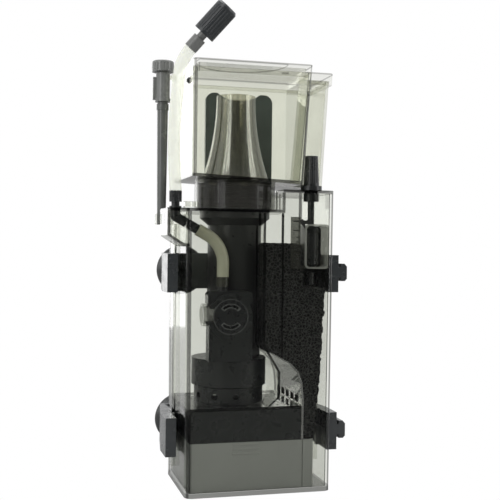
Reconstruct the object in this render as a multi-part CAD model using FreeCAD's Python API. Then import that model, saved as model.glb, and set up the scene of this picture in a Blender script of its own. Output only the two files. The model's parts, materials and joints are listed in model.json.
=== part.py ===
import FreeCAD, Part
import math
import os

os.makedirs("parts", exist_ok=True)
V = FreeCAD.Vector
XAX = V(1, 0, 0)
YAX = V(0, 1, 0)
ZAX = V(0, 0, 1)

# ---------------------------------------------------------------- main sizes, mm
BASE_W, BASE_D = 110.0, 78.2      # foot of the tank
TOP_W, TOP_D = 112.0, 79.4        # rim of the tank, the walls open out a little
TANK_TOP = 224.0                  # top of the right-hand deck
RECESS_TOP = 209.0                # top of the left-hand deck
WALL = 2.4
FLOOR = 3.0
DECK_T = 2.2
STEP_X = 15.6                     # where the deck steps up
AX, AY = -11.5, 0.0               # axis of cone, neck and column
RECESS_R = 33.2                   # round part of the recess about the neck

COL_R, COL_IN = 20.5, 18.0
NECK_R, NECK_IN = 26.8, 24.4
NECK_TOP = 226.5
SOCKET_IN, SOCKET_OUT = 27.58, 31.0
RING_Z = (211.9, 217.2)           # two O-rings on the neck

CUP_L, CUP_F, CUP_B = -52.0, -39.4, 39.4
CUP_WALL = 2.0
CUP_TOP = 311.0
LID_TOP = 316.8
NOTCH_Y = -10.0                   # front of the cup's set-back right part
CONE_Z0, CONE_Z1 = 232.6, 296.4

PUMP_X, PUMP_Z = -22.2, 130.3     # pump axis, along Y
TUBE_Y = -24.0                    # plane of the inner air line
TUBE_OD = 9.0
LEVEL_X, LEVEL_Y = 41.0, -27.6    # axis of the level control
POLE_X, POLE_Y = -67.8, 3.0
GATE_Z0, GATE_Z1 = 165.6, 198.8   # clear housing of the level gate

BRACKET_H = 28.5
BRACKET_Z = {"l": 26.3, "u": 147.3}
CUP_RISE = 0.4                    # suction cup centre above bracket centre
SUCTION_X = 43.0


def box(x0, x1, y0, y1, z0, z1):
    return Part.makeBox(x1 - x0, y1 - y0, z1 - z0, V(x0, y0, z0))


def cyl(r, x, y, z0, z1):
    return Part.makeCylinder(r, z1 - z0, V(x, y, z0), ZAX)


def cyl_y(r, x, z, y0, y1):
    return Part.makeCylinder(r, y1 - y0, V(x, y0, z), YAX)


def cone(r0, r1, x, y, z0, z1):
    return Part.makeCone(r0, r1, z1 - z0, V(x, y, z0), ZAX)


def tube(ro, ri, x, y, z0, z1):
    return cyl(ro, x, y, z0, z1).cut(cyl(ri, x, y, z0 - 1, z1 + 1))


def fuse(shapes):
    out = shapes[0]
    for s in shapes[1:]:
        out = out.fuse(s)
    return out.removeSplitter()


def rounded_wire(pts, radii, z):
    """Closed wire through pts at height z, each corner rounded by its radius."""
    n = len(pts)
    ends = []
    for i in range(n):
        p = V(pts[i][0], pts[i][1], z)
        a = V(pts[i - 1][0], pts[i - 1][1], z)
        b = V(pts[(i + 1) % n][0], pts[(i + 1) % n][1], z)
        u = (a - p).normalize()
        w = (b - p).normalize()
        ang = math.acos(max(-1.0, min(1.0, u.dot(w))))
        t = radii[i] / math.tan(ang / 2)
        mid = (u + w).normalize()
        c = p + mid * (radii[i] / math.sin(ang / 2))
        ends.append((p + u * t, c - mid * radii[i], p + w * t))
    edges = []
    for i in range(n):
        s, m, e = ends[i]
        edges.append(Part.Arc(s, m, e).toShape())
        nxt = ends[(i + 1) % n][0]
        if (nxt - e).Length > 1e-6:
            edges.append(Part.LineSegment(e, nxt).toShape())
    return Part.Wire(edges)


def rect(w, d):
    return [(-w / 2, -d / 2), (w / 2, -d / 2), (w / 2, d / 2), (-w / 2, d / 2)]


def loft(w0, w1):
    return Part.makeLoft([w0, w1], True, True)


def tank_solid(inset, z0, z1, r):
    """The tank's outside shape, moved in by inset, between two heights."""
    wires = []
    for z in (z0, z1):
        k = z / TANK_TOP
        w = BASE_W + (TOP_W - BASE_W) * k - 2 * inset
        d = BASE_D + (TOP_D - BASE_D) * k - 2 * inset
        wires.append(rounded_wire(rect(w, d), [r] * 4, z))
    return loft(wires[0], wires[1])


def prism_xy(pts, z0, z1):
    w = Part.makePolygon([V(x, y, z0) for x, y in pts] + [V(pts[0][0], pts[0][1], z0)])
    return Part.Face(w).extrude(V(0, 0, z1 - z0))


def prism_xz(pts, y0, y1):
    w = Part.makePolygon([V(x, y0, z) for x, z in pts] + [V(pts[0][0], y0, pts[0][1])])
    return Part.Face(w).extrude(V(0, y1 - y0, 0))


def revolve_z(pts, x, y):
    """Turn (radius, height) points about the vertical through x, y."""
    w = Part.makePolygon([V(x + r, y, z) for r, z in pts] + [V(x + pts[0][0], y, pts[0][1])])
    return Part.Face(w).revolve(V(x, y, 0), ZAX, 360)


def revolve_y(pts, x, z):
    w = Part.makePolygon([V(x + r, y, z) for r, y in pts] + [V(x + pts[0][0], pts[0][1], z)])
    return Part.Face(w).revolve(V(x, 0, z), YAX, 360)


def sweep(points, radius, arc=None):
    """Round rod along straight runs with tangent arcs; prints each bend radius."""
    pts = [V(*p) for p in points]
    runs = [(pts[i + 1] - pts[i]).Length for i in range(len(pts) - 1)]
    edges = []
    here = pts[0]
    bends = []
    for i in range(1, len(pts) - 1):
        u = (pts[i] - pts[i - 1]).normalize()
        w = (pts[i + 1] - pts[i]).normalize()
        turn = math.acos(max(-1.0, min(1.0, u.dot(w))))
        r = arc if arc else 0.45 * min(runs[i - 1], runs[i]) / math.tan(turn / 2)
        t = r * math.tan(turn / 2)
        a = pts[i] - u * t
        b = pts[i] + w * t
        c = pts[i] + (w - u).normalize() * (r / math.cos(turn / 2))
        m = c + (pts[i] - c).normalize() * r
        edges.append(Part.LineSegment(here, a).toShape())
        edges.append(Part.Arc(a, m, b).toShape())
        here = b
        bends.append(round(r, 1))
    edges.append(Part.LineSegment(here, pts[-1]).toShape())
    wire = Part.Wire(edges)
    first = (pts[1] - pts[0]).normalize()
    disc = Part.Wire([Part.makeCircle(radius, pts[0], first)])
    body = wire.makePipeShell([disc], True, False)
    print("rod length", round(wire.Length, 1), "bend radii", bends, "volume", round(body.Volume, 1))
    return body


PARTS = {}


def add(name, shape):
    PARTS[name] = shape


# ---------------------------------------------------------------- tank shell
outer = tank_solid(0.0, 0.0, TANK_TOP, 5.5)
inner = tank_solid(WALL, FLOOR, TANK_TOP + 8, 3.2)
recess_cyl = cyl(RECESS_R, AX, AY, 190, 240)
high = box(STEP_X, 70, -60, 60, 190, 240).cut(recess_cyl)
low = box(-80, 70, -60, 60, 190, 240).cut(high)

shell = outer.cut(inner)
shell = shell.cut(low.common(box(-90, 90, -60, 60, RECESS_TOP - DECK_T, 240)))
shell = shell.cut(box(-90, 90, -60, 60, TANK_TOP - DECK_T, 240))

RAIL_OUT, RAIL_NECK = 58.4, 56.3
rail_pts = [(54.2, 3.2), (RAIL_NECK, 3.2), (RAIL_OUT, 1.5), (RAIL_OUT, 11.5), (RAIL_NECK, 9.8), (54.2, 9.8)]
rail_right = prism_xy(rail_pts, 14, 198)
rail_left = prism_xy([(-x, y) for x, y in rail_pts][::-1], 14, 198)
back_pts = [(-3.3, 38.2), (-3.3, 40.2), (-5.0, 42.2), (5.0, 42.2), (3.3, 40.2), (3.3, 38.2)]
rail_back = prism_xy(back_pts, 118, 200)
tank = fuse([shell, rail_right, rail_left, rail_back])

# ---------------------------------------------------------------- air line and its wing
ELBOW_X = -61.9
ARM_TILT = math.radians(29.0)
ARM = V(math.cos(ARM_TILT), 0, -math.sin(ARM_TILT))
ELBOW_Z = 203.0
arm_start = V(ELBOW_X, TUBE_Y, ELBOW_Z)
ARM_LEN = 19.0
arm_end = arm_start + ARM * ARM_LEN
arm_hole = Part.makeCylinder(3.8, 60, arm_start, ARM)
tank = tank.cut(arm_hole)
add("tank_body", tank)

wing_out = prism_xz([(-70, 189.2), (-57.6, 181.2), (-50, 181.2), (-50, 209), (-70, 209)], -38.4, -5.0)
wing_in = prism_xz([(-68, 190.3), (-57.0, 183.2), (-48, 183.2), (-48, 207), (-68, 207)], -36.4, -7.0)
wing = wing_out.cut(wing_in).cut(outer).cut(cyl(3.7, ELBOW_X, TUBE_Y, 200, 215)).cut(arm_hole)
wing = wing.cut(box(-60, -40, -60, 60, 208.99, 240))
keep = [s for s in wing.Solids if s.Volume > 50]
add("air_wing", keep[0])

elbow = cyl(3.6, ELBOW_X, TUBE_Y, ELBOW_Z, 209.6)
elbow = elbow.fuse(Part.makeSphere(3.6, arm_start))
elbow = elbow.fuse(Part.makeCylinder(3.6, ARM_LEN, arm_start, ARM))
elbow = elbow.fuse(cyl(4.4, ELBOW_X, TUBE_Y, 209.0, 210.6))
elbow = elbow.fuse(cyl(3.0, ELBOW_X, TUBE_Y, 210.0, 213.8))
add("air_elbow", elbow.removeSplitter())

nut = cyl(4.6, ELBOW_X, TUBE_Y, 213.8, 221.8)
for i in range(12):
    a = math.radians(30 * i)
    nut = nut.cut(cyl(0.5, ELBOW_X + 4.7 * math.cos(a), TUBE_Y + 4.7 * math.sin(a), 214.6, 221.9))
add("hose_nut", nut)

# the inner air line is held at both ends
DROP_X = -25.8
corner_z = arm_end.z - (DROP_X - arm_end.x) * math.tan(ARM_TILT)
inner_route = [(arm_end.x, TUBE_Y, arm_end.z), (DROP_X, TUBE_Y, corner_z), (DROP_X, TUBE_Y, 151.6)]
add("inner_air_tube", sweep(inner_route, TUBE_OD / 2, 23.6))

# the outer air line stands free and leans to the front
AIR_ROUTE = [
    (-61.9, -24.0, 221.8),
    (-64.2, -27.0, 250.0),
    (-64.4, -31.5, 274.5),
    (-63.4, -36.4, 294.0),
    (-62.6, -42.4, 313.9),
    (-53.9, -46.6, 324.0),
]
add("air_tube", sweep(AIR_ROUTE, TUBE_OD / 2))
tip = V(*AIR_ROUTE[-1])
AIM = (tip - V(*AIR_ROUTE[-2])).normalize()


def along(r, d0, d1):
    return Part.makeCylinder(r, d1 - d0, tip + AIM * d0, AIM)


def ring_along(count, radius, cut_r, d0, d1):
    side = AIM.cross(YAX).normalize()
    third = AIM.cross(side).normalize()
    cuts = []
    for i in range(count):
        a = 2 * math.pi * i / count
        off = side * (radius * math.cos(a)) + third * (radius * math.sin(a))
        cuts.append(Part.makeCylinder(cut_r, d1 - d0, tip + off + AIM * d0, AIM))
    return cuts


stem = along(4.9, -3.8, 6.2).cut(along(4.5, -5.0, 0.0)).fuse(along(3.1, 6.2, 10.0))
add("silencer_stem", stem.removeSplitter())
SIL0, SIL1, SIL_R = 10.0, 34.0, 8.2
sil = along(SIL_R, SIL0, SIL1)
sil = sil.cut(along(6.2, SIL0 + 2.0, SIL1 + 1))
for c in ring_along(24, SIL_R + 0.38, 0.7, SIL0 + 2.5, SIL1 - 2.0):
    sil = sil.cut(c)
add("silencer_body", sil)
add("silencer_felt", along(6.1, SIL0 + 2.0, SIL1 - 2.4))
cap = along(6.15, SIL1 - 2.4, SIL1)
side = AIM.cross(YAX).normalize()
third = AIM.cross(side).normalize()
for i in range(6):
    a = math.radians(60 * i)
    off = side * (3.6 * math.cos(a)) + third * (3.6 * math.sin(a))
    cap = cap.cut(Part.makeCylinder(0.9, 6, tip + off + AIM * (SIL1 - 4), AIM))
cap = cap.fuse(Part.makeCone(SIL_R, SIL_R - 1.3, 1.6, tip + AIM * SIL1, AIM).cut(along(5.6, SIL1 - 1, SIL1 + 3)))
add("silencer_cap", cap.removeSplitter())

# ---------------------------------------------------------------- deck
deck_low = outer.common(low).common(box(-90, 90, -60, 60, RECESS_TOP - DECK_T, RECESS_TOP))
deck_high = outer.common(high).common(box(-90, 90, -60, 60, TANK_TOP - DECK_T, TANK_TOP))
room = box(STEP_X + 2.4, 90, -60, 60, 180, TANK_TOP - DECK_T).cut(cyl(RECESS_R + 2.4, AX, AY, 180, 240))
riser = high.common(box(-90, 90, -60, 60, RECESS_TOP - DECK_T, TANK_TOP - DECK_T)).cut(room)
riser = riser.common(tank_solid(WALL + 0.02, 150, TANK_TOP, 3.2))
sill = outer.common(box(STEP_X - 2.4, STEP_X + 12, -60, 60, RECESS_TOP - DECK_T, RECESS_TOP)).cut(room)
sill = sill.common(tank_solid(WALL + 0.02, 150, TANK_TOP, 3.2))
deck = deck_low.fuse(deck_high).fuse(riser).fuse(sill)
deck = deck.cut(cyl(NECK_R + 0.2, AX, AY, 190, 240)).cut(cyl(5.0, LEVEL_X, LEVEL_Y, 200, 230))
deck = deck.cut(PARTS["tank_body"]).removeSplitter()
keep = sorted(deck.Solids, key=lambda s: s.Volume)
add("deck_plate", keep[-1])

rest = box(-57.0, -46.6, -36.0, -29.0, RECESS_TOP, RECESS_TOP + 4.8)
rest = rest.cut(box(-50.6, -48.0, -34.6, -30.4, RECESS_TOP + 1.2, 230))
rest = rest.cut(box(-55.6, -52.0, -34.6, -30.4, RECESS_TOP + 1.2, 230))
add("cup_rest", rest)

# ---------------------------------------------------------------- column, neck, base
col_pts = [
    (COL_IN, 97.2), (COL_R, 97.2), (COL_R, 197.6), (NECK_R, 203.0), (NECK_R, NECK_TOP),
    (NECK_IN, NECK_TOP), (NECK_IN, 203.6), (COL_IN, 198.2),
]
column = revolve_z(col_pts, AX, AY)
for z in RING_Z:
    column = column.cut(Part.makeTorus(NECK_R - 0.45, 1.2, V(AX, AY, z), ZAX))
column = column.cut(cyl_y(10.06, PUMP_X, PUMP_Z, -40, -4.0))
add("reaction_column", column)
add("neck_rings", Part.makeCompound([Part.makeTorus(NECK_R - 0.45, 1.15, V(AX, AY, z), ZAX) for z in RING_Z]))

BASE_X, BASE_R = -15.0, 28.4
base = revolve_z([(24.0, 64.0), (26.3, 64.0), (26.3, 76.0), (BASE_R, 77.0), (BASE_R, 97.2), (14.0, 97.2),
                  (14.0, 94.8), (26.2, 94.8), (26.2, 78.4), (24.0, 77.4)], BASE_X, AY)
for i in range(10):
    a = math.radians(36 * i + 18)
    base = base.cut(Part.makeCylinder(2.4, 8, V(BASE_X + 22 * math.cos(a), 22 * math.sin(a), 69.5),
                                      V(math.cos(a), math.sin(a), 0)))
add("column_base", base)

# ---------------------------------------------------------------- partitions, shelf, base boxes
IN_F, IN_B = -36.4, 36.4
PT = 2.0


def bent_plate(pts, t, y0, y1):
    """A plate that follows (x, z) points, t thick to the right."""
    right = [(x + t, z) for x, z in pts]
    return prism_xz(pts + right[::-1], y0, y1)


p1 = bent_plate([(1.6, 206.6), (1.6, 109.4), (13.8, 89.4), (13.8, 70.8), (6.4, 64.1)], PT, IN_F, IN_B)
p1 = p1.cut(cyl(BASE_R + 0.2, BASE_X, AY, 60, 97.4)).cut(cyl(COL_R + 0.1, AX, AY, 97, 210))
p1 = p1.cut(cyl(NECK_R + 0.3, AX, AY, 197.5, 210)).removeSplitter()
add("inner_partition", sorted(p1.Solids, key=lambda s: s.Volume)[-1])

p2 = bent_plate([(7.4, 103.6), (22.0, 95.6), (28.4, 89.0), (31.6, 80.0), (32.6, 70.0), (32.6, 38.6)], 1.6, IN_F, IN_B)
p2 = p2.cut(cyl(COL_R + 0.6, AX, AY, 97, 210))
for i in range(5):
    p2 = p2.cut(box(31, 37, -24 + 12 * i - 4, -24 + 12 * i + 4, 64.8, 70))
add("foam_partition", p2)
add("foam_guide", box(16.0, 17.4, IN_F, -34.4, 100.2, 206.6))

shelf = box(-56, 32.4, -40, 40, 61.8, 64.0).common(tank_solid(WALL + 0.05, 50, 80, 3.2))
shelf = shelf.cut(cyl(20.0, BASE_X, AY, 50, 80))
add("chamber_shelf", shelf)

drum = box(-51.6, 32.4, -36.2, 34.0, 38.6, 61.8)
drum = drum.cut(box(-49.4, 30.2, -34.0, 31.8, 38.0, 59.6)).cut(cyl(20.0, BASE_X, AY, 50, 80))
drum = drum.makeFillet(1.6, [e for e in drum.Edges if abs(e.Vertexes[0].Point.x + 51.6) < 0.01
                             and e.Length > 20 and e.Length < 24])
add("outlet_box", drum)

tray = box(-51.6, 42.4, -36.2, 34.0, 3.0, 38.6)
tray = tray.makeFillet(2.0, [e for e in tray.Edges if abs(e.Vertexes[0].Point.z - e.Vertexes[1].Point.z) > 30])
tray = tray.cut(box(-49.4, 30.8, -33.9, 31.8, 5.2, 40)).cut(box(36.0, 40.2, -33.9, 31.8, 5.2, 40))
for i in range(3):
    tray = tray.fuse(box(-19.6, 0.8, -36.55, -36.0, 29.4 + 3.4 * i, 30.7 + 3.4 * i))
tray = tray.cut(box(33.2, 34.0, -36.3, -35.6, 3, 39)).removeSplitter()
add("base_tray", tray)

# ---------------------------------------------------------------- pump
can = cyl_y(10.0, PUMP_X, PUMP_Z, -21.95, -4.5)
house = cyl_y(16.8, PUMP_X, PUMP_Z, -35.2, -21.95)
plinth = box(-37.6, -5.0, -33.0, -21.95, 97.2, 128)
crown = box(-38.6, -5.0, -33.0, -21.95, 139.6, 148.6)
crown = crown.makeFillet(3.0, [e for e in crown.Edges if e.Length > 10 and e.Length < 12 and e.Vertexes[0].Point.z > 148])
house = house.fuse(plinth).fuse(crown).fuse(can)
house = house.cut(cyl_y(13.28, PUMP_X, PUMP_Z, -36, -33.8))
house = house.cut(cyl_y(11.6, PUMP_X, PUMP_Z, -36, -25.0))
house = house.cut(cyl_y(7.4, PUMP_X, PUMP_Z, -30, -6.5))
house = house.cut(box(-35.6, -7.0, -31.4, -24.0, 99.2, 110.5))
house = house.cut(cyl(COL_R + 0.02, AX, AY, 90, 200).cut(cyl_y(10.0, PUMP_X, PUMP_Z, -40, 0)))
nozzle_hole = Part.makeCylinder(8.3, 14, V(-44.0, -28.6, PUMP_Z + 1), XAX)
house = house.cut(nozzle_hole)
house = house.cut(cyl(3.6, DROP_X, TUBE_Y, 140, 160))
house = house.removeSplitter()
keep = sorted(house.Solids, key=lambda s: s.Volume)
add("pump_housing", keep[-1])

noz = Part.makeCylinder(8.3, 12.0, V(-42.4, -28.6, PUMP_Z + 1), XAX)
noz = noz.cut(Part.makeCylinder(6.4, 30, V(-50, -28.6, PUMP_Z + 1), XAX))
noz = noz.cut(cyl_y(11.6, PUMP_X, PUMP_Z, -36, -25.0)).cut(cyl_y(13.28, PUMP_X, PUMP_Z, -38, -33.8))
noz = noz.common(box(-60, -32.0, -60, 60, 0, 300))
keep = sorted(noz.Solids, key=lambda s: s.Volume)
add("pump_nozzle", keep[-1])

cover = cyl_y(13.2, PUMP_X, PUMP_Z, -36.4, -33.86)


def arc_slot(mid_deg, half_deg, r_in, r_out):
    pts = []
    for k in range(9):
        a = math.radians(mid_deg - half_deg + 2 * half_deg * k / 8)
        pts.append((PUMP_X + r_out * math.cos(a), PUMP_Z + r_out * math.sin(a)))
    for k in range(8, -1, -1):
        a = math.radians(mid_deg - half_deg + 2 * half_deg * k / 8)
        pts.append((PUMP_X + r_in * math.cos(a), PUMP_Z + r_in * math.sin(a)))
    return prism_xz(pts, -38, -30)


cover = cover.cut(arc_slot(90, 46, 6.9, 9.0)).cut(arc_slot(270, 46, 6.9, 9.0))
add("pump_cover", cover)
add("shaft_bush_front", cyl_y(2.8, PUMP_X, PUMP_Z, -33.86, -32.7).cut(cyl_y(1.26, PUMP_X, PUMP_Z, -40, -20)))
add("impeller_shaft", cyl_y(1.2, PUMP_X, PUMP_Z, -33.6, -7.0))
add("shaft_bush_rear", cyl_y(7.3, PUMP_X, PUMP_Z, -9.2, -6.5).cut(cyl_y(1.2, PUMP_X, PUMP_Z, -40, 0)))
rotor = cyl_y(9.6, PUMP_X, PUMP_Z, -27.4, -26.2).fuse(cyl_y(3.4, PUMP_X, PUMP_Z, -32.5, -24.4))
for ring_r, count in ((8.2, 14), (5.6, 9)):
    for i in range(count):
        a = 2 * math.pi * i / count
        x = PUMP_X + ring_r * math.cos(a)
        z = PUMP_Z + ring_r * math.sin(a)
        rotor = rotor.fuse(cyl_y(0.7, x, z, -32.5, -27.0))
rotor = rotor.cut(cyl_y(1.26, PUMP_X, PUMP_Z, -40, 0)).removeSplitter()
add("impeller", rotor)
add("rotor_magnet", cyl_y(6.9, PUMP_X, PUMP_Z, -24.4, -9.6).cut(cyl_y(1.26, PUMP_X, PUMP_Z, -40, 0)))
venturi = cyl(3.6, DROP_X, TUBE_Y, 141.5, 151.6)
venturi = venturi.cut(cyl_y(11.6, PUMP_X, PUMP_Z, -36, -25.0)).cut(cyl(1.6, DROP_X, TUBE_Y, 130, 150))
add("venturi_nozzle", sorted(venturi.Solids, key=lambda s: s.Volume)[-1])
gland = Part.makeCylinder(3.4, 6.0, V(-5.0, -27.5, 103.5), XAX)
gland = gland.fuse(Part.makeCylinder(4.6, 2.0, V(-5.0, -27.5, 103.5), XAX))
gland = gland.cut(Part.makeCylinder(1.6, 5.0, V(-3.2, -27.5, 103.5), XAX))
add("cable_gland", gland.removeSplitter())

# ---------------------------------------------------------------- foam
foam_pts = [(4.0, 184.0), (31.0, 184.0), (33.0, 176.0), (33.0, 151.0), (50.2, 151.0), (50.2, 142.0),
            (47.2, 86.0), (42.4, 38.6), (34.6, 38.6), (34.6, 70.2), (33.6, 80.2), (30.3, 89.4),
            (23.8, 96.1), (9.2, 104.1), (4.0, 109.8)]
sponge = prism_xz(foam_pts, -35.8, 34.0).cut(cyl(COL_R + 0.8, AX, AY, 90, 196))
sponge = sponge.cut(box(15.8, 17.6, -37.0, -34.2, 90, 210))
add("foam_sponge", sponge)

# ---------------------------------------------------------------- level control
knob = cyl(8.0, LEVEL_X, LEVEL_Y, 224.2, 227.6)
grip = cone(5.9, 4.8, LEVEL_X, LEVEL_Y, 227.6, 250.2)
for i in range(16):
    a = 2 * math.pi * i / 16
    cut = Part.makeCylinder(0.55, 22.0, V(LEVEL_X + 6.15 * math.cos(a), LEVEL_Y + 6.15 * math.sin(a), 229.6),
                            V(-1.06 * math.cos(a) / 22, -1.06 * math.sin(a) / 22, 1))
    grip = grip.cut(cut)
knob = knob.fuse(grip).cut(cyl(2.5, LEVEL_X, LEVEL_Y, 200, 236)).removeSplitter()
add("level_knob", knob)
spindle = cyl(2.5, LEVEL_X, LEVEL_Y, 152.4, 236.0)
add("level_spindle", spindle.makeChamfer(0.7, [spindle.Edges[-1]]))
bush = cyl(5.8, LEVEL_X, LEVEL_Y, 216.0, TANK_TOP - DECK_T).fuse(cyl(4.94, LEVEL_X, LEVEL_Y, 220, TANK_TOP))
bush = bush.cut(cyl(2.58, LEVEL_X, LEVEL_Y, 200, 240)).removeSplitter()
add("level_bushing", bush)
gate = cyl(5.7, LEVEL_X, LEVEL_Y, GATE_Z0 + 1.5, GATE_Z1 - 1.5)
gate = gate.makeChamfer(1.9, [gate.Edges[0], gate.Edges[-1]]).cut(cyl(2.5, LEVEL_X, LEVEL_Y, 150, 220))
for z in (GATE_Z0 + 6.0, GATE_Z1 - 7.2):
    gate = gate.cut(tube(6.4, 5.2, LEVEL_X, LEVEL_Y, z, z + 1.2))
port = box(LEVEL_X - 2.6, LEVEL_X + 2.6, LEVEL_Y + 3.2, LEVEL_Y + 8.0, 176.0, 189.0)
add("level_gate", gate.cut(port))
ring_pts = [(33.8, GATE_Z0), (52.9, GATE_Z0), (52.9, GATE_Z1), (33.8, GATE_Z1)]


def rounded_xz(pts, r, grow, y0, y1):
    """Rounded rectangle in the upright plane, moved out by grow, from y0 to y1."""
    xs = [x for x, z in pts]
    zs = [z for x, z in pts]
    b = box(min(xs) - grow, max(xs) + grow, y0, y1, min(zs) - grow, max(zs) + grow)
    return b.makeFillet(r, [e for e in b.Edges if abs(e.Vertexes[0].Point.y - e.Vertexes[1].Point.y) > 1])


hous = rounded_xz(ring_pts, 3.4, 0.0, -36.6, -19.6).cut(rounded_xz(ring_pts, 2.4, -1.3, -40.0, -10.0))
hous = hous.cut(cyl(2.6, LEVEL_X, LEVEL_Y, 150, 220)).common(tank_solid(WALL + 0.05, 150, 210, 3.2))
add("gate_housing", hous)
back = rounded_xz(ring_pts, 2.3, -1.4, -21.0, -19.6).common(tank_solid(WALL + 0.05, 150, 210, 3.2))
add("gate_back", back)
gate_floor = box(33.8, 60.0, -40.0, 40.0, GATE_Z0 - 2.4, GATE_Z0).cut(box(38, 49, -14, 30, 160, 170))
gate_floor = gate_floor.cut(cyl(2.6, LEVEL_X, LEVEL_Y, 150, 220))
add("gate_shelf", gate_floor.common(tank_solid(WALL + 0.05, 150, 180, 3.2)))

scale = box(22.6, 30.0, -36.9, -35.9, GATE_Z0, 204.0)
scale = scale.fuse(box(29.9, 33.8, -36.6, -35.9, GATE_Z0, GATE_Z0 + 2.4))
add("level_scale", scale.removeSplitter())
marks = []
for i, z in enumerate((200.4, 193.6)):
    marks.append(box(24.4, 28.6, -37.05, -36.9, z, z + 0.9))
for i in range(6):
    marks.append(box(26.6, 28.6, -37.05, -36.9, 188.6 - 3.2 * i, 189.1 - 3.2 * i))
add("scale_marks", Part.makeCompound(marks))
ptr = prism_xz([(30.0, 201.6), (40.0, 201.6), (40.0, GATE_Z1), (33.6, GATE_Z1), (33.6, 195.4), (30.0, 199.8)],
               -36.6, -35.9)
for x in (31.4, 36.0):
    ptr = ptr.fuse(cyl_y(0.9, x, 201.6, -36.6, -35.9))
ptr = ptr.removeSplitter()
add("level_pointer", ptr)

# ---------------------------------------------------------------- collection cup


def cup_points(z, grow):
    """Outside of the cup at height z, moved out by grow."""
    k = (z - 228.0) / (LID_TOP - 228.0)
    xr = 31.0 + 7.0 * k
    xs = 56.6 + 5.2 * k
    return [(CUP_L - grow, CUP_F - grow), (xr + grow, CUP_F - grow), (xr + grow, NOTCH_Y - grow),
            (xs + grow, NOTCH_Y - grow), (xs + grow, CUP_B + grow), (CUP_L - grow, CUP_B + grow)]


def cup_solid(z0, z1, grow, radii):
    return loft(rounded_wire(cup_points(z0, grow), radii, z0), rounded_wire(cup_points(z1, grow), radii, z1))


def below_floor(lift):
    """Everything under the cup's sloping floor, raised by lift."""
    z0 = 232.0 + lift
    z1 = 226.6 + lift
    return prism_xz([(-54, z0 + 0.1), (61.5, z1 - 0.1), (61.5, 200), (-54, 200)], -60, 60)


OUT_R = [4.0, 4.0, 2.0, 4.0, 4.0, 4.0]
IN_R = [2.2, 2.2, 3.8, 2.2, 2.2, 2.2]
cup_out = cup_solid(224.0, CUP_TOP, 0.0, OUT_R).cut(below_floor(0.0))
cup_in = cup_solid(224.0, CUP_TOP + 3, -CUP_WALL, IN_R).cut(below_floor(2.2))
socket = cyl(SOCKET_OUT, AX, AY, RECESS_TOP, 236).cut(cup_solid(224.0, 250, -CUP_WALL, IN_R).cut(below_floor(2.2)))
cup = cup_out.cut(cup_in).fuse(socket)
cup = cup.cut(cyl(SOCKET_IN, AX, AY, 200, 229.4)).cut(cyl(24.2, AX, AY, 200, 250))
cup = cup.removeSplitter()
vent = Part.makeCylinder(2.3, 1.6, V(CUP_L - 0.9, -20.0, 303.4), XAX)
vent = vent.fuse(Part.makeCylinder(1.5, 2.4, V(CUP_L - 1.7, -20.0, 303.4), XAX)).cut(cup)
add("vent_plug", sorted(vent.Solids, key=lambda s: s.Volume)[-1])
add("collection_cup", sorted(cup.Solids, key=lambda s: s.Volume)[-1])

profile = []
STEPS = 14
for i in range(STEPS + 1):
    t = i / STEPS
    r = 15.0 + 10.6 * (1 - t) ** 2.1
    profile.append((r, CONE_Z0 + (CONE_Z1 - CONE_Z0) * t))


def cone_solid(pts, x, y):
    """A turned solid whose slope is one smooth curve through pts."""
    curve = Part.BSplineCurve()
    curve.interpolate([V(x + r, y, z) for r, z in pts])
    a = V(x + pts[0][0], y, pts[0][1])
    b = V(x + pts[-1][0], y, pts[-1][1])
    wire = Part.Wire([curve.toShape(), Part.makeLine(b, V(x, y, b.z)), Part.makeLine(V(x, y, b.z), V(x, y, a.z)),
                      Part.makeLine(V(x, y, a.z), a)])
    return Part.Face(wire).revolve(V(x, y, 0), ZAX, 360)


riser_out = cone_solid(profile, AX, AY)
riser_in = cone_solid([(r - 1.9, z) for r, z in profile], AX, AY)
riser_cone = riser_out.cut(riser_in).cut(cyl(12.9, AX, AY, 290, 300))
skirt = tube(24.15, 22.4, AX, AY, 229.6, CONE_Z0 + 0.6)
riser_cone = riser_cone.fuse(skirt).removeSplitter()
riser_cone = riser_cone.cut(PARTS["collection_cup"])
add("riser_cone", sorted(riser_cone.Solids, key=lambda s: s.Volume)[-1])

lid = cup_solid(CUP_TOP, LID_TOP, 0.0, OUT_R)
plug = cup_solid(CUP_TOP - 3.0, CUP_TOP + 0.5, -CUP_WALL - 0.15, IN_R)
plug = plug.cut(cup_solid(CUP_TOP - 4.0, CUP_TOP + 0.5, -CUP_WALL - 1.9, IN_R))
top_wire = rounded_wire(cup_points(CUP_TOP, 0.15), OUT_R, 300.0)
over = cup_solid(307.6, LID_TOP, 2.0, OUT_R).cut(Part.Face(top_wire).extrude(V(0, 0, 20)))
over = over.common(box(41.5, 90, -60, 60, 290, 330))
lid = lid.cut(cup_solid(CUP_TOP - 1, LID_TOP - 2.4, -CUP_WALL - 1.9, IN_R))
bridge = cup_solid(CUP_TOP + 0.1, LID_TOP, 2.0, OUT_R).common(box(41.5, 90, -60, 60, 290, 330))
lid = lid.fuse(plug).fuse(over).fuse(bridge)
grip_cut = cyl(34.0, -14.0, -29.0, LID_TOP - 0.9, LID_TOP + 1).cut(box(-90, 90, -80, -36.2, 300, 330))
lid = lid.cut(grip_cut).cut(box(24.0, 29.0, -6.0, -3.4, 300, 330)).removeSplitter()
add("cup_lid", sorted(lid.Solids, key=lambda s: s.Volume)[-1])

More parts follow.
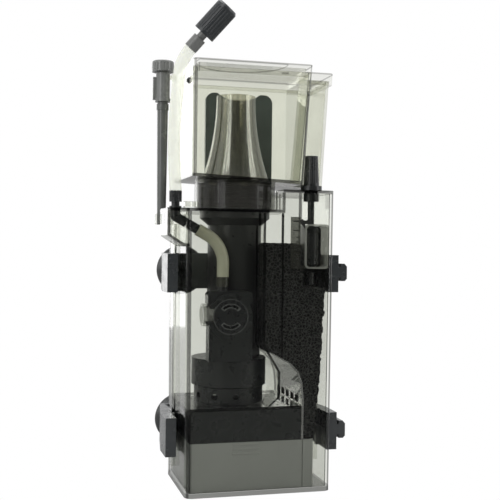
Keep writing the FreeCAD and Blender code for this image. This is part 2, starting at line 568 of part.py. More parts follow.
# ---------------------------------------------------------------- pole with its turning valve cap
pole = cone(3.3, 4.1, POLE_X, POLE_Y, 197.4, 284.0).fuse(cyl(4.6, POLE_X, POLE_Y, 284.0, 288.4))
pole = pole.fuse(cyl(3.9, POLE_X, POLE_Y, 288.0, 290.0)).cut(cyl(1.8, POLE_X, POLE_Y, 190, 291))
add("riser_pole", pole.removeSplitter())
barrel = cyl(5.8, POLE_X, POLE_Y, 290.0, 292.6).fuse(cyl(5.3, POLE_X, POLE_Y, 292.0, 311.6))
barrel = barrel.fuse(box(POLE_X - 7.6, POLE_X - 3, POLE_Y - 1.6, POLE_Y + 1.6, 291.4, 308.4))
barrel = barrel.fuse(cyl(4.2, POLE_X, POLE_Y, 311.0, 316.0))
barrel = barrel.cut(cyl(2.0, POLE_X, POLE_Y, 280, 320))
side_hole = Part.makeCylinder(2.0, 8, V(POLE_X, POLE_Y, 309.0), XAX)
barrel = barrel.cut(side_hole)
add("valve_barrel", barrel.removeSplitter())
vcap = cyl(8.3, POLE_X, POLE_Y, 312.6, 320.8)
vcap = vcap.makeFillet(1.4, [e for e in vcap.Edges if e.Vertexes[0].Point.z > 320])
vcap = vcap.cut(cyl(4.28, POLE_X, POLE_Y, 310, 316.4))
for i in range(20):
    a = 2 * math.pi * i / 20
    vcap = vcap.cut(cyl(0.55, POLE_X + 8.5 * math.cos(a), POLE_Y + 8.5 * math.sin(a), 313.8, 318.6))
vcap = vcap.cut(cyl(6.3, POLE_X, POLE_Y, 312.0, 313.2).cut(cyl(5.5, POLE_X, POLE_Y, 311, 315)))
add("valve_cap", vcap.removeSplitter())
vnoz = Part.makeCylinder(2.0, 8.4, V(POLE_X + 2.1, POLE_Y, 309.0), XAX)
vnoz = vnoz.fuse(Part.makeCylinder(2.7, 3.4, V(POLE_X + 6.6, POLE_Y, 309.0), XAX))
vnoz = vnoz.cut(Part.makeCylinder(1.0, 20, V(POLE_X, POLE_Y, 309.0), XAX))
vnoz = vnoz.cut(cyl(2.1, POLE_X, POLE_Y, 280, 320)).cut(PARTS["valve_barrel"])
add("valve_nozzle", sorted(vnoz.Solids, key=lambda s: s.Volume)[-1])
seat = cyl(4.9, POLE_X, POLE_Y, 197.4, 205.4).fuse(box(-69.9, -60.0, -5.0, POLE_Y, 197.4, 205.4))
seat = seat.cut(cone(3.3, 4.1, POLE_X, POLE_Y, 197.4, 284.0)).cut(cyl(2.5, POLE_X, POLE_Y, 190, 300))
add("pole_socket", seat.removeSplitter())

# ---------------------------------------------------------------- brackets and suction cups
side_pts = [
    (58.6, -20.0), (66.5, -20.0), (66.5, 3.5), (61.6, 38.0), (60.0, 43.4), (57.6, 45.0), (16.5, 45.0),
    (16.5, 40.3), (56.45, 40.3), (56.45, 9.98), (58.5, 11.7), (58.5, 1.3), (56.45, 3.02), (56.45, -1.0), (58.6, -1.0),
]


def bracket(sign, z0):
    pts = [(sign * x, y) for x, y in side_pts]
    b = prism_xy(pts if sign > 0 else pts[::-1], z0, z0 + BRACKET_H)
    zc = z0 + BRACKET_H / 2 + CUP_RISE
    b = b.cut(cyl_y(4.3, sign * SUCTION_X, zc, 30, 60)).cut(cyl_y(6.6, sign * SUCTION_X, zc, 30, 42.6))
    b = b.cut(box(sign * SUCTION_X - 3.4, sign * SUCTION_X + 3.4, 30, 60, zc, z0 + BRACKET_H + 1))
    if sign > 0:
        zm = z0 + BRACKET_H / 2 + 1.0
        b = b.fuse(box(66.0, 69.0, -20, -3, zm - 4.0, zm + 4.0))
        head = [(68.4, zm - 6.7), (71.8, zm - 6.7), (73.4, zm - 5.0), (73.4, zm + 4.4), (71.4, zm + 6.7), (68.4, zm + 6.7)]
        b = b.fuse(prism_xz(head, -20, -3))
    return b.removeSplitter()


def suction(x, zc):
    pts = [(0, 40.6), (6.2, 40.6), (6.2, 42.4), (4.1, 42.5), (4.1, 45.1), (6.4, 45.3), (7.2, 47.0), (12.0, 48.6),
           (16.6, 50.6), (19.2, 52.4), (20.0, 54.0), (18.6, 54.0), (15.6, 52.2), (11.0, 50.6), (5.0, 49.9), (0, 49.8)]
    return revolve_y(pts, x, zc)


for level in ("u", "l"):
    for tag, sign in (("l", -1), ("r", 1)):
        z0 = BRACKET_Z[level]
        add("bracket_%s%s" % (level, tag), bracket(sign, z0))
        add("suction_cup_%s%s" % (level, tag), suction(sign * SUCTION_X, z0 + BRACKET_H / 2 + CUP_RISE))

# ---------------------------------------------------------------- rear hanger
plate = prism_xz([(-26.4, 214), (29.5, 214), (29.5, 306), (-26.4, 306)], 41.2, 45.2)
plate = plate.makeFillet(7.0, [e for e in plate.Edges if e.Vertexes[0].Point.z > 300 and e.Vertexes[1].Point.z > 300
                               and abs(e.Vertexes[0].Point.y - e.Vertexes[1].Point.y) > 2])
plate = plate.cut(cyl_y(30.0, 1.0, 330.0, 30, 60))
stem_h = box(-11, 11, 40.1, 46.2, 142, 222)
stem_h = stem_h.cut(prism_xy([(-3.35, 40.0), (-3.35, 40.1), (-5.2, 42.3), (5.2, 42.3), (3.35, 40.1), (3.35, 40.0)],
                             130, 214.0))
hook = box(-20, 20, 45.0, 67.6, 290.0, 294.0).fuse(box(-20, 20, 64.4, 67.6, 274.0, 294.0))
rib = [box(x - 1.1, x + 1.1, 45.0, 47.2, 220, 290.5) for x in (-9, 9)]
hanger = fuse([plate, stem_h, hook] + rib)
add("rear_hanger", hanger)

# ---------------------------------------------------------------- write
for name in sorted(PARTS):
    s = PARTS[name]
    ok = s.isValid()
    closed = all(x.isClosed() for x in s.Shells)
    if not ok or not closed or len(s.Solids) < 1 or s.Volume < 0:
        print("PROBLEM", name, ok, closed, len(s.Solids), s.Volume)
    s.exportStep("parts/%s.step" % name)
    bb = s.BoundBox
    print("%-18s solids %d vol %9.1f  x %7.1f %7.1f  y %7.1f %7.1f  z %7.1f %7.1f" % (
        name, len(s.Solids), s.Volume, bb.XMin, bb.XMax, bb.YMin, bb.YMax, bb.ZMin, bb.ZMax))
print(len(PARTS), "nodes")
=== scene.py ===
import json
import math

import bmesh
import bpy
from mathutils import Matrix, Vector, noise


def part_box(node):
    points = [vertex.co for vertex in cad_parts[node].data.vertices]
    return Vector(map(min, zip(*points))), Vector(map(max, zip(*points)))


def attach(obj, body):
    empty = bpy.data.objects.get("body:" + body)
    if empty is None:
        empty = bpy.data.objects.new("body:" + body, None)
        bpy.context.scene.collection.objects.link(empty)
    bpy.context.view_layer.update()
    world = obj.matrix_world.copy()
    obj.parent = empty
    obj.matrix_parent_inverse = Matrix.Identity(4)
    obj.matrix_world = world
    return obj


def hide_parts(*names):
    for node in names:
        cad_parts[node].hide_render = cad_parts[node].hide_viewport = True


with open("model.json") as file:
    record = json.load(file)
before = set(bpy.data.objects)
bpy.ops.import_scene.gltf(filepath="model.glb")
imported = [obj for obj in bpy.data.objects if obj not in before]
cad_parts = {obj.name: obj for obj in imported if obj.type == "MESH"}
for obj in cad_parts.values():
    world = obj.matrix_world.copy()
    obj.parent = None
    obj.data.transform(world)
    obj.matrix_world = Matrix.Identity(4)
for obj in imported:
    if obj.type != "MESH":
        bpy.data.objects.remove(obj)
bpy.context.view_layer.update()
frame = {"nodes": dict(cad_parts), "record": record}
scene = bpy.context.scene
MM = 0.001

# ---------------------------------------------------------------- camera
AZIMUTH, PITCH, ROLL = math.radians(14.78), math.radians(-0.28), math.radians(0.69)
CAMERA_AT = Vector((-0.17707, -0.67526, 0.18237))
LENS, SENSOR = 65.07, 36


def place_camera():
    """A long lens in front and to the left, level with the upper half of the tank, rolled very slightly."""
    across = math.cos(PITCH)
    look = Vector((math.sin(AZIMUTH) * across, math.cos(AZIMUTH) * across, math.sin(PITCH)))
    right = Vector((math.cos(AZIMUTH), -math.sin(AZIMUTH), 0))
    up = right.cross(look)
    rolled_right = right * math.cos(ROLL) + up * math.sin(ROLL)
    rolled_up = up * math.cos(ROLL) - right * math.sin(ROLL)
    data = bpy.data.cameras.new("camera")
    data.lens = LENS
    data.sensor_width = SENSOR
    data.clip_start = 0.01
    camera = bpy.data.objects.new("camera", data)
    turn = Matrix((rolled_right, rolled_up, -look)).transposed().to_4x4()
    camera.matrix_world = Matrix.Translation(CAMERA_AT) @ turn
    scene.collection.objects.link(camera)
    scene.camera = camera


place_camera()

# ---------------------------------------------------------------- materials


class Nodes:
    """A material's node tree, with short calls to add to it."""

    def __init__(self, name):
        self.mat = bpy.data.materials.new(name)
        self.mat.use_nodes = True
        self.tree = self.mat.node_tree
        self.tree.nodes.clear()
        self.out = self.tree.nodes.new("ShaderNodeOutputMaterial")
        self.coord = self.tree.nodes.new("ShaderNodeTexCoord")

    def add(self, kind, props=None, **inputs):
        node = self.tree.nodes.new("ShaderNode" + kind)
        for key, value in (props or {}).items():
            setattr(node, key, value)
        for key, value in inputs.items():
            self.put(node, key.replace("_", " "), value)
        return node

    def put(self, node, key, value):
        socket = node.inputs[int(key[1:])] if key[0] == "i" and key[1:].isdigit() else node.inputs[key]
        if isinstance(value, bpy.types.NodeSocket):
            self.tree.links.new(value, socket)
        else:
            socket.default_value = value

    def noise(self, scale, detail=3.0, rough=0.5):
        n = self.add("TexNoise", Scale=scale, Detail=detail, Roughness=rough)
        self.tree.links.new(self.coord.outputs["Object"], n.inputs["Vector"])
        return n.outputs["Fac"]

    def ramp(self, fac, stops):
        r = self.add("ValToRGB")
        self.tree.links.new(fac, r.inputs["Fac"])
        els = r.color_ramp.elements
        while len(els) < len(stops):
            els.new(0.5)
        for e, (pos, colour) in zip(els, stops):
            e.position = pos
            e.color = colour
        return r.outputs["Color"]

    def map(self, value, a, b, c, d):
        m = self.add("MapRange", **{"From_Min": a, "From_Max": b, "To_Min": c, "To_Max": d})
        self.tree.links.new(value, m.inputs["Value"])
        return m.outputs["Result"]

    def math(self, how, a, b):
        m = self.add("Math", {"operation": how})
        self.put(m, "i0", a)
        self.put(m, "i1", b)
        return m.outputs[0]

    def bump(self, height, strength, distance, normal=None):
        b = self.add("Bump", Strength=strength, Distance=distance)
        self.tree.links.new(height, b.inputs["Height"])
        if normal is not None:
            self.tree.links.new(normal, b.inputs["Normal"])
        return b.outputs["Normal"]

    def parts(self, output):
        """The three numbers of the object's own position or normal."""
        split = self.add("SeparateXYZ")
        self.tree.links.new(self.coord.outputs[output], split.inputs[0])
        return split.outputs

    def scaled(self, colour, factor):
        v = self.add("VectorMath", {"operation": "SCALE"})
        self.put(v, "i0", colour)
        self.put(v, "i3", factor)
        return v.outputs[0]

    def bevel(self, radius):
        return self.add("Bevel", {"samples": 4}, Radius=radius).outputs["Normal"]

    def finish(self, shader):
        self.tree.links.new(shader, self.out.inputs["Surface"])
        return self.mat


GRAIN = 900.0
EDGE_ROUND = 0.4 * MM


def shade(colour, factor):
    """A colour made lighter or darker, with full alpha."""
    return (colour[0] * factor, colour[1] * factor, colour[2] * factor, 1.0)


ARM_HALF_WIDTH = 56.0 * MM


def painted_light_arm(n):
    """1 on the arm that runs behind the tank, which is coloured paler than the bracket's ends as painted
    light.
    """
    return n.math("LESS_THAN", n.math("ABSOLUTE", n.parts("Object")[0], 0.0), ARM_HALF_WIDTH)


def opaque(name, colour, rough, depth=0.00004, vary=0.25, spec=0.5, painted_light=None):
    """Moulded plastic or rubber: cloudy tone, fine grain, softened edges. The last argument holds a mask and
    a paler colour painted there as light.
    """
    n = Nodes(name)
    cloud = n.noise(45.0, 4.0)
    fine = n.noise(GRAIN, 2.0)
    col = n.ramp(cloud, [(0.3, shade(colour, 1 - vary)), (0.72, shade(colour, 1 + vary))])
    # Painted light: the mask lays a paler colour over the plastic's own colour.
    if painted_light:
        mix = n.add("Mix", {"data_type": "RGBA"})
        n.tree.links.new(painted_light[0](n), mix.inputs[0])
        n.tree.links.new(col, mix.inputs[6])
        mix.inputs[7].default_value = shade(painted_light[1], 1)
        col = mix.outputs[2]
    ruf = n.map(n.noise(130.0, 5.0, 0.6), 0.3, 0.75, max(0.05, rough - 0.08), rough + 0.10)
    nor = n.bump(fine, 0.35, depth, n.bevel(EDGE_ROUND))
    p = n.add("BsdfPrincipled", Base_Color=col, Roughness=ruf, Normal=nor)
    p.inputs["Specular IOR Level"].default_value = spec
    return n.finish(p.outputs[0])


def end_on_shade(n):
    """1 on the edges that a partition turns to the front and the back, which painted shade darkens."""
    return n.math("GREATER_THAN", n.math("ABSOLUTE", n.parts("Normal")[1], 0.0), 0.5)


def corner_shade(n):
    """1 along the middle of the round between two upright walls, away from the rails on the side walls;
    painted shade darkens the clear plastic there.
    """
    nor = n.parts("Normal")
    least = n.math("MINIMUM", n.math("ABSOLUTE", nor[0], 0.0), n.math("ABSOLUTE", nor[1], 0.0))
    far = n.math("GREATER_THAN", n.math("ABSOLUTE", n.parts("Object")[1], 0.0), 25.0 * MM)
    return n.math("MULTIPLY", n.map(least, 0.45, 0.62, 0.0, 1.0), far)


# Radii and slope of the painted highlight round the slots, and the width of the one round the rim.
SLOT_LINE = (6.3 * MM, 9.6 * MM)
SLOT_SINE = 0.62
COVER_RIM = 0.8 * MM


def cover_highlight_lines(n):
    """1 round the rim of the pump's cover and round its two curved slots, which are coloured paler as a
    painted highlight.
    """
    low_corner, high_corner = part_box("pump_cover")
    radius = (high_corner[0] - low_corner[0]) / 2
    place = n.parts("Object")
    dx = n.math("SUBTRACT", place[0], (high_corner[0] + low_corner[0]) / 2)
    dz = n.math("SUBTRACT", place[2], (high_corner[2] + low_corner[2]) / 2)
    far = n.math("SQRT", n.math("ADD", n.math("MULTIPLY", dx, dx), n.math("MULTIPLY", dz, dz)), 0.0)
    outside_slot = n.math("GREATER_THAN", far, SLOT_LINE[0])
    ring = n.math("MULTIPLY", outside_slot, n.math("LESS_THAN", far, SLOT_LINE[1]))
    upright = n.math("GREATER_THAN", n.math("ABSOLUTE", dz, 0.0), n.math("MULTIPLY", far, SLOT_SINE))
    rim = n.math("MULTIPLY", n.math("GREATER_THAN", far, radius - COVER_RIM), 0.55)
    return n.math("MAXIMUM", n.math("MULTIPLY", ring, upright), rim)


GATE_FRAME = 1.9 * MM


def gate_frame_highlight(n):
    """1 in the thick rounded frame round the gate housing's window, where a paler veil is painted as a
    highlight.
    """
    low_corner, high_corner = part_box("gate_housing")
    place = n.parts("Object")
    gaps = []
    for axis in (0, 2):
        half = (high_corner[axis] - low_corner[axis]) / 2
        off = n.math("SUBTRACT", place[axis], low_corner[axis] + half)
        gaps.append(n.math("SUBTRACT", n.math("ABSOLUTE", off, 0.0), half))
    return n.math("GREATER_THAN", n.math("MAXIMUM", gaps[0], gaps[1]), -GATE_FRAME)


def cup_wing(n):
    """1 in the cup's set-back right part."""
    return n.math("GREATER_THAN", n.parts("Object")[0], 40.5 * MM)


def wing_outline_shade(n):
    """1 round the outline of the wing's front wall, where its side walls are seen end on and painted shade
    darkens it.
    """
    place = n.parts("Object")
    front = n.math("LESS_THAN", place[1], -36.0 * MM)
    left = n.math("LESS_THAN", place[0], -67.8 * MM)
    slope_z = n.map(place[0], -70.0 * MM, -57.6 * MM, 191.4 * MM, 183.4 * MM)
    low = n.math("LESS_THAN", place[2], slope_z)
    top = n.math("GREATER_THAN", place[2], 206.8 * MM)
    edge = n.math("MAXIMUM", n.math("MAXIMUM", left, low), top)
    return n.math("MULTIPLY", front, edge)


def below(top):
    """A mask that is 1 lower than top."""
    def mask(n):
        return n.math("LESS_THAN", n.parts("Object")[2], top)
    return mask


def cup_floor_shade(n):
    """1 in the sloping floor of the cup, which falls to the right; painted shade darkens it."""
    place = n.parts("Object")
    floor_z = n.map(place[0], -54.0 * MM, 61.5 * MM, 232.0 * MM, 226.6 * MM)
    return n.math("LESS_THAN", n.math("SUBTRACT", place[2], floor_z), 2.4 * MM)


def lid_rim_shade(n):
    """1 on the thin upper rim of the lid's side walls, which painted shade darkens."""
    high = n.math("GREATER_THAN", n.parts("Object")[2], 315.6 * MM)
    upright = n.math("LESS_THAN", n.math("ABSOLUTE", n.parts("Normal")[2], 0.0), 0.5)
    return n.math("MULTIPLY", high, upright)


def clear(name, tint, veil_colour, veil=0.010, masks=(), gloss_rough=0.05, rim_dark=0.35, streak=0.0,
          shine=0.010, haze=None):
    """Clear moulded plastic. Each skin tints what is behind it, masks paint shade, mostly over thick places
    seen end on, and only outer skins carry a reflection. masks holds pairs of a mask and the light it lets
    through."""
    n = Nodes(name)
    facing = n.add("LayerWeight", Blend=0.5).outputs["Facing"]
    fresnel = n.add("Fresnel", IOR=1.45).outputs[0]
    inner = n.add("NewGeometry").outputs["Backfacing"]
    factor = n.map(n.math("POWER", facing, 9.0), 0.0, 1.0, 1.0, rim_dark)
    smear = n.noise(22.0, 5.0, 0.6)
    factor = n.math("MULTIPLY", factor, n.map(smear, 0.3, 0.75, 1.0, 0.965))
    if streak:
        run = n.add("Mapping")
        n.tree.links.new(n.coord.outputs["Object"], run.inputs["Vector"])
        run.inputs["Scale"].default_value = (1.0, 1.0, 0.06)
        lines = n.add("TexNoise", Scale=420.0, Detail=4.0, Roughness=0.6)
        n.tree.links.new(run.outputs[0], lines.inputs["Vector"])
        factor = n.math("MULTIPLY", factor, n.map(lines.outputs["Fac"], 0.35, 0.7, 1.0, 1.0 - streak))
    for mask, light in masks:
        factor = n.math("MULTIPLY", factor, n.map(mask(n), 0.0, 1.0, 1.0, light))
    see = n.add("BsdfTransparent")
    n.tree.links.new(n.scaled(tint, factor), see.inputs["Color"])
    wavy = n.bump(n.noise(38.0, 2.0), 0.25, 0.0004, n.bevel(0.0006))
    scratch = n.bump(n.noise(700.0, 2.0), 0.10, 0.00003, wavy)
    body = n.add("BsdfPrincipled", Base_Color=shade(veil_colour, 1), Roughness=0.35, Normal=scratch)
    cloud = n.map(smear, 0.35, 0.75, veil * 0.6, veil * 1.5)
    if haze:
        cloud = n.math("ADD", cloud, n.map(haze[0](n), 0.0, 1.0, 0.0, haze[1]))
    first = n.add("MixShader")
    n.tree.links.new(cloud, first.inputs[0])
    n.tree.links.new(see.outputs[0], first.inputs[1])
    n.tree.links.new(body.outputs[0], first.inputs[2])
    gloss_r = n.map(n.noise(60.0, 4.0), 0.3, 0.75, gloss_rough * 0.6, gloss_rough * 1.8)
    gloss = n.add("BsdfGlossy", Color=(1, 1, 1, 1), Roughness=gloss_r, Normal=scratch)
    amount = n.map(fresnel, 0.035, 1.0, shine, 0.9)
    amount = n.math("MULTIPLY", amount, n.math("SUBTRACT", 1.0, inner))
    last = n.add("MixShader")
    n.tree.links.new(amount, last.inputs[0])
    n.tree.links.new(first.outputs[0], last.inputs[1])
    n.tree.links.new(gloss.outputs[0], last.inputs[2])
    return n.finish(last.outputs[0])


def tubing(name, colour, see_through, rough, dark_end=None):
    """Soft silicone tube: milky, a little see-through, darker along its rims.
    dark_end is a mask of the stretch that is coloured dark. No barb is modelled inside it."""
    n = Nodes(name)
    cloud = n.noise(60.0, 4.0)
    facing = n.add("LayerWeight", Blend=0.4).outputs["Facing"]
    base = n.ramp(cloud, [(0.3, shade(colour, 0.92)), (0.7, shade(colour, 1.05))])
    rim = n.add("Mix", {"data_type": "RGBA"})
    n.tree.links.new(n.math("POWER", facing, 2.5), rim.inputs[0])
    n.tree.links.new(base, rim.inputs[6])
    rim.inputs[7].default_value = shade(colour, 0.55)
    col = rim.outputs[2]
    if dark_end:
        col = n.scaled(col, n.map(dark_end(n), 0.0, 1.0, 1.0, 0.10))
    nor = n.bump(n.noise(500.0), 0.2, 0.00005)
    ruf = n.map(n.noise(90.0), 0.3, 0.7, rough * 0.8, rough * 1.3)
    p = n.add("BsdfPrincipled", Base_Color=col, Roughness=ruf, Normal=nor)
    p.inputs["Subsurface Weight"].default_value = 0.25
    p.inputs["Subsurface Radius"].default_value = (0.004, 0.004, 0.003)
    p.inputs["Subsurface Scale"].default_value = 1.0
    see = n.add("BsdfTransparent", Color=shade(colour, 1.1))
    m = n.add("MixShader", Fac=see_through)
    n.tree.links.new(p.outputs[0], m.inputs[1])
    n.tree.links.new(see.outputs[0], m.inputs[2])
    return n.finish(m.outputs[0])


# Foam colours: a painted highlight on the strands and painted shade in the cells.
LIT_STRAND, SHADED_CELL = (0.056, 0.058, 0.055, 1), (0.004, 0.004, 0.004, 1)


def sponge_material():
    """Open-cell filter foam: cells about 2 mm across painted dark as shade in the pores, with strands between
    them painted paler as highlight.
    """
    n = Nodes("foam")
    v = n.add("TexVoronoi", {"feature": "DISTANCE_TO_EDGE"}, Scale=430.0)
    n.tree.links.new(n.coord.outputs["Object"], v.inputs["Vector"])
    pore_shading = n.ramp(v.outputs["Distance"], [(0.02, LIT_STRAND), (0.16, SHADED_CELL)])
    nor = n.bump(v.outputs["Distance"], 1.0, -0.0012)
    p = n.add("BsdfPrincipled", Base_Color=pore_shading, Roughness=0.85, Normal=nor)
    p.inputs["Specular IOR Level"].default_value = 0.25
    return n.finish(p.outputs[0])


def felt_material():
    """Matted grey fibre, as in the air silencer."""
    n = Nodes("felt")
    fibre = n.noise(1500.0, 6.0, 0.7)
    col = n.ramp(fibre, [(0.3, (0.16, 0.16, 0.155, 1)), (0.7, (0.40, 0.40, 0.39, 1))])
    p = n.add("BsdfPrincipled", Base_Color=col, Roughness=0.95, Normal=n.bump(fibre, 0.8, 0.0003))
    p.inputs["Sheen Weight"].default_value = 0.4
    return n.finish(p.outputs[0])


BLACK = (0.015, 0.017, 0.017)
SMOKE = (0.906, 0.911, 0.889)
WATER_CLEAR = (0.923, 0.928, 0.890)
VEIL = (0.16, 0.165, 0.165)
WARM_VEIL = (0.24, 0.24, 0.21)
# Height of the tank's floor, below which painted shade darkens the smoky walls.
SHADED_FLOOR_TOP = 3.4 * MM
CUP_SOCKET_TOP = 228.5 * MM
DARK_END_TOP = 159.0 * MM
MATS = {
    # Painted shade: the smoky clear plastic is darkened along its corner rounds and over its floor.
    "smoke_clear": clear("smoke_clear", SMOKE, VEIL, masks=[(corner_shade, 0.30), (below(SHADED_FLOOR_TOP), 0.55)]),
    # Painted shade: the cup is darkened along its corner rounds and over its sloping floor; its set-back part
    # is a little darker too.
    "cup_clear": clear("cup_clear", WATER_CLEAR, WARM_VEIL, haze=(below(CUP_SOCKET_TOP), 0.14),
                       masks=[(corner_shade, 0.35), (cup_floor_shade, 0.50), (cup_wing, 0.93)]),
    # Painted highlight: a thicker pale veil over the frame round the gate housing's window.
    "gate_clear": clear("gate_clear", (0.90, 0.905, 0.88), (0.60, 0.61, 0.58), veil=0.04, gloss_rough=0.2,
                        haze=(gate_frame_highlight, 0.45)),
    "black_plastic": opaque("black_plastic", BLACK, 0.30, depth=0.00002, vary=0.08),
    # Painted light: the arm behind the tank is coloured paler than the bracket's ends.
    "bracket": opaque("bracket", (0.044, 0.049, 0.052), 0.24, depth=0.00001, vary=0.08, spec=0.65,
                      painted_light=(painted_light_arm, (0.21, 0.22, 0.225))),
    "grey_plastic": opaque("grey_plastic", (0.39, 0.40, 0.385), 0.45, depth=0.00002, vary=0.06),
    "black_rubber": opaque("black_rubber", (0.010, 0.010, 0.010), 0.55),
    "cup_rubber": opaque("cup_rubber", (0.055, 0.058, 0.058), 0.25),
    "foam": sponge_material(),
    "felt": felt_material(),
    "ceramic": opaque("ceramic", (0.75, 0.74, 0.70), 0.2, vary=0.05),
    "magnet": opaque("magnet", (0.05, 0.045, 0.045), 0.4),
    "tube_beige": tubing("tube_beige", (0.60, 0.60, 0.46), 0.10, 0.3, dark_end=below(DARK_END_TOP)),
    "tube_milky": tubing("tube_milky", (0.97, 0.98, 0.93), 0.66, 0.25),
    "ink": opaque("ink", (0.02, 0.02, 0.02), 0.5),
    "pole_grey": opaque("pole_grey", (0.135, 0.141, 0.134), 0.22, depth=0.00001, vary=0.08),
}
THIN_CLEAR = (0.955, 0.958, 0.945)
# Painted shade on the edges that the thin walls turn to the front and the back.
wall_edge = clear("wall_edge", THIN_CLEAR, VEIL, veil=0.004, masks=[(end_on_shade, 0.12)], rim_dark=1.0)
# The valve's barrel and cap are a lighter grey than the pole: partly their own grey, partly a painted
# highlight.
valve = opaque("valve", (0.22, 0.226, 0.216), 0.22, depth=0.00001, vary=0.08)
column = opaque("column", (0.032, 0.033, 0.032), 0.34, depth=0.00002, vary=0.08)
SPECIAL = {
    # Painted shade on the deck's edges seen end on.
    "deck_plate": clear("deck", SMOKE, VEIL, masks=[(end_on_shade, 0.30)]),
    # Painted shade round the outline of the wing's front wall.
    "air_wing": clear("wing", SMOKE, VEIL, masks=[(wing_outline_shade, 0.22)]),
    "reaction_column": column,
    "chamber_shelf": wall_edge,
    "gate_shelf": wall_edge,
    "inner_partition": wall_edge,
    # Painted shade on the foam partition's edges seen end on.
    "foam_partition": clear("foam_wall", THIN_CLEAR, VEIL, veil=0.004, masks=[(end_on_shade, 0.12)],
                            rim_dark=1.0, shine=0.35),
    "valve_barrel": valve,
    "valve_cap": valve,
    # Painted shade: the lid is darkened along its upper rim and its corner rounds.
    "cup_lid": clear("lid", (0.926, 0.927, 0.908), WARM_VEIL, masks=[(lid_rim_shade, 0.62), (corner_shade, 0.6)],
                     rim_dark=0.9),
    "foam_guide": wall_edge,
    "riser_cone": clear("cone", (0.90, 0.89, 0.81), (0.30, 0.29, 0.23), veil=0.05, gloss_rough=0.12,
                        streak=0.35, shine=0.22),
    # Painted highlight: paler lines round the cover's rim and round its two slots.
    "pump_cover": opaque("pump_cover", (0.010, 0.011, 0.012), 0.28, depth=0.00001, vary=0.05,
                         painted_light=(cover_highlight_lines, (0.15, 0.155, 0.155))),
    "pump_nozzle": clear("nozzle", (0.85, 0.855, 0.84), (0.30, 0.30, 0.28), veil=0.12),
    "rear_hanger": opaque("hanger", (0.17, 0.200, 0.222), 0.35, vary=0.1),
    "silencer_stem": opaque("stem", (0.19, 0.193, 0.186), 0.3, vary=0.1),
    "silencer_body": opaque("silencer", (0.030, 0.034, 0.037), 0.32, vary=0.1),
    "silencer_cap": opaque("silencer_end", (0.030, 0.034, 0.037), 0.32, vary=0.1),
}
for side in ("ul", "ur", "ll", "lr"):
    SPECIAL["bracket_" + side] = MATS["bracket"]
slots = {s["node"]: s["material_slot"] for s in frame["record"]["subparts"]}
for node, obj in frame["nodes"].items():
    for s in obj.material_slots:
        s.link = "OBJECT"
        s.material = SPECIAL.get(node, MATS[slots[node]])

# ---------------------------------------------------------------- air hose
HOSE_ROUTE = [
    (-61.9, -24.0, 221.8),
    (-64.2, -27.0, 250.0),
    (-64.4, -31.5, 274.5),
    (-63.4, -36.4, 294.0),
    (-62.6, -42.4, 313.9),
    (-53.9, -46.6, 324.0),
]
HOSE_DIAMETER = 9.0 * MM


def air_hose():
    """The milky hose from the elbow's nut up to the silencer."""
    curve = bpy.data.curves.new("air_hose", "CURVE")
    curve.dimensions = "3D"
    spline = curve.splines.new("NURBS")
    spline.points.add(len(HOSE_ROUTE) - 1)
    for point, place in zip(spline.points, HOSE_ROUTE):
        point.co = (place[0] * MM, place[1] * MM, place[2] * MM, 1.0)
    spline.order_u = 3
    spline.use_endpoint_u = True
    curve.bevel_depth = HOSE_DIAMETER / 2
    curve.bevel_resolution = 10
    curve.resolution_u = 24
    curve.use_fill_caps = True
    hose = bpy.data.objects.new("air_hose", curve)
    scene.collection.objects.link(hose)
    hose.data.materials.append(MATS["tube_milky"])
    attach(hose, "frame")
    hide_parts("air_tube")


air_hose()

# ---------------------------------------------------------------- sponge
VOXEL, PORE, STRAND_GAP = 1.1 * MM, 2.1 * MM, 1.4 * MM
PORE_DEPTH, STRAND_DEPTH = 0.8 * MM, 0.6 * MM


def even_mesh(piece):
    """Replace the piece's mesh with one of small even faces."""
    remesh = piece.modifiers.new("remesh", "REMESH")
    remesh.mode = "VOXEL"
    remesh.voxel_size = VOXEL
    bpy.context.view_layer.update()
    dense = bpy.data.meshes.new_from_object(piece.evaluated_get(bpy.context.evaluated_depsgraph_get()))
    piece.modifiers.clear()
    plain = piece.data
    piece.data = dense
    bpy.data.meshes.remove(plain)
    if not dense.materials:
        dense.materials.append(MATS["foam"])


def pit(mesh):
    """Sink cells into the surface, as cut foam has."""
    bm = bmesh.new()
    bm.from_mesh(mesh)
    bm.normal_update()
    for v in bm.verts:
        cell = noise.cell(v.co / PORE)
        rough = noise.noise(v.co / STRAND_GAP)
        v.co -= v.normal * (PORE_DEPTH * cell + STRAND_DEPTH * abs(rough))
    bm.to_mesh(mesh)
    bm.free()


def foam_block():
    """The filter foam, made from the plain solid in its place."""
    mesh = frame["nodes"]["foam_sponge"].data.copy()
    mesh.name = "foam_block"
    mesh.materials.clear()
    mesh.materials.append(MATS["foam"])
    for face in mesh.polygons:
        face.use_smooth = True
    sponge = bpy.data.objects.new("foam_block", mesh)
    scene.collection.objects.link(sponge)
    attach(sponge, "frame")
    even_mesh(sponge)
    pit(sponge.data)
    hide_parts("foam_sponge")


foam_block()

# ---------------------------------------------------------------- room


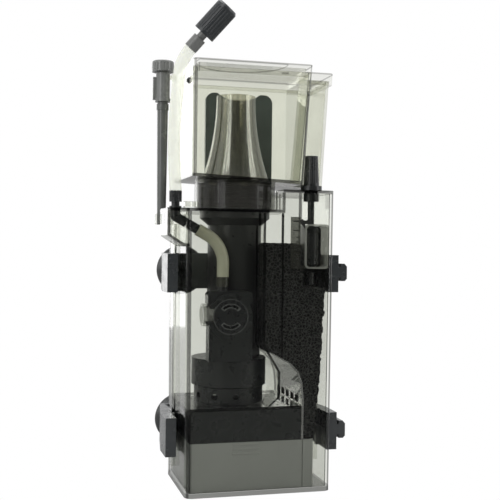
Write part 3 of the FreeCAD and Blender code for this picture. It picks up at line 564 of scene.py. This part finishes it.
def white_room():
    """White behind the object, and a room that is bright at the back and dimmer towards the front."""
    world = bpy.data.worlds.new("studio")
    world.use_nodes = True
    tree = world.node_tree
    tree.nodes.clear()
    coord = tree.nodes.new("ShaderNodeTexCoord")
    split = tree.nodes.new("ShaderNodeSeparateXYZ")
    tree.links.new(coord.outputs["Generated"], split.inputs[0])
    fall = tree.nodes.new("ShaderNodeMapRange")
    for key, value in (("From Min", -0.85), ("From Max", -0.1), ("To Min", 0.08), ("To Max", 0.85)):
        fall.inputs[key].default_value = value
    tree.links.new(split.outputs[1], fall.inputs["Value"])
    path = tree.nodes.new("ShaderNodeLightPath")
    strength = tree.nodes.new("ShaderNodeMath")
    strength.operation = "MAXIMUM"
    tree.links.new(fall.outputs["Result"], strength.inputs[0])
    tree.links.new(path.outputs["Is Camera Ray"], strength.inputs[1])
    back = tree.nodes.new("ShaderNodeBackground")
    back.inputs["Color"].default_value = (1, 1, 1, 1)
    tree.links.new(strength.outputs[0], back.inputs["Strength"])
    out = tree.nodes.new("ShaderNodeOutputWorld")
    tree.links.new(back.outputs[0], out.inputs["Surface"])
    return world


scene.world = white_room()
scene.view_settings.view_transform = "Standard"
scene.cycles.transparent_max_bounces = 32

FLOOR_HALF, FLOOR_DROP = 3.0, 0.5 * MM
PALE, PALER = (0.42, 0.42, 0.42, 1), (0.46, 0.46, 0.46, 1)


def white_floor():
    """A grey floor that the camera sees as white, so that it doesn't part from the background."""
    bm = bmesh.new()
    bmesh.ops.create_grid(bm, x_segments=4, y_segments=4, size=FLOOR_HALF)
    mesh = bpy.data.meshes.new("floor")
    bm.to_mesh(mesh)
    bm.free()
    floor = bpy.data.objects.new("floor", mesh)
    floor.location = (0, 0, -FLOOR_DROP)
    scene.collection.objects.link(floor)
    n = Nodes("floor")
    pale = n.ramp(n.noise(3.0), [(0.3, PALE), (0.7, PALER)])
    grey = n.add("BsdfPrincipled", Base_Color=pale, Roughness=0.6)
    white = n.add("Emission", Color=(1, 1, 1, 1), Strength=1.0)
    seen = n.add("MixShader")
    n.tree.links.new(n.add("LightPath").outputs["Is Camera Ray"], seen.inputs[0])
    n.tree.links.new(grey.outputs[0], seen.inputs[1])
    n.tree.links.new(white.outputs[0], seen.inputs[2])
    mesh.materials.append(n.finish(seen.outputs[0]))


white_floor()


LAMPS_AIM = (0, 0, 0.17)


def lamp(name, place, size, power):
    """A rectangular area lamp, in metres and watts, turned to the middle of the tank."""
    data = bpy.data.lights.new(name, "AREA")
    data.shape = "RECTANGLE"
    data.size, data.size_y = size
    data.energy = power
    o = bpy.data.objects.new(name, data)
    o.location = place
    o.rotation_euler = (Vector(LAMPS_AIM) - Vector(place)).to_track_quat("-Z", "Y").to_euler()
    scene.collection.objects.link(o)


lamp("key_left", (-0.9, -0.7, 0.6), (0.5, 0.9), 4.0)
lamp("fill_right", (0.9, -0.5, 0.5), (0.4, 0.9), 3.0)
lamp("top", (0.0, 0.1, 1.1), (0.8, 0.8), 4.0)
lamp("behind_left", (-0.50, 1.2, 0.2), (0.5, 0.9), 3.0)
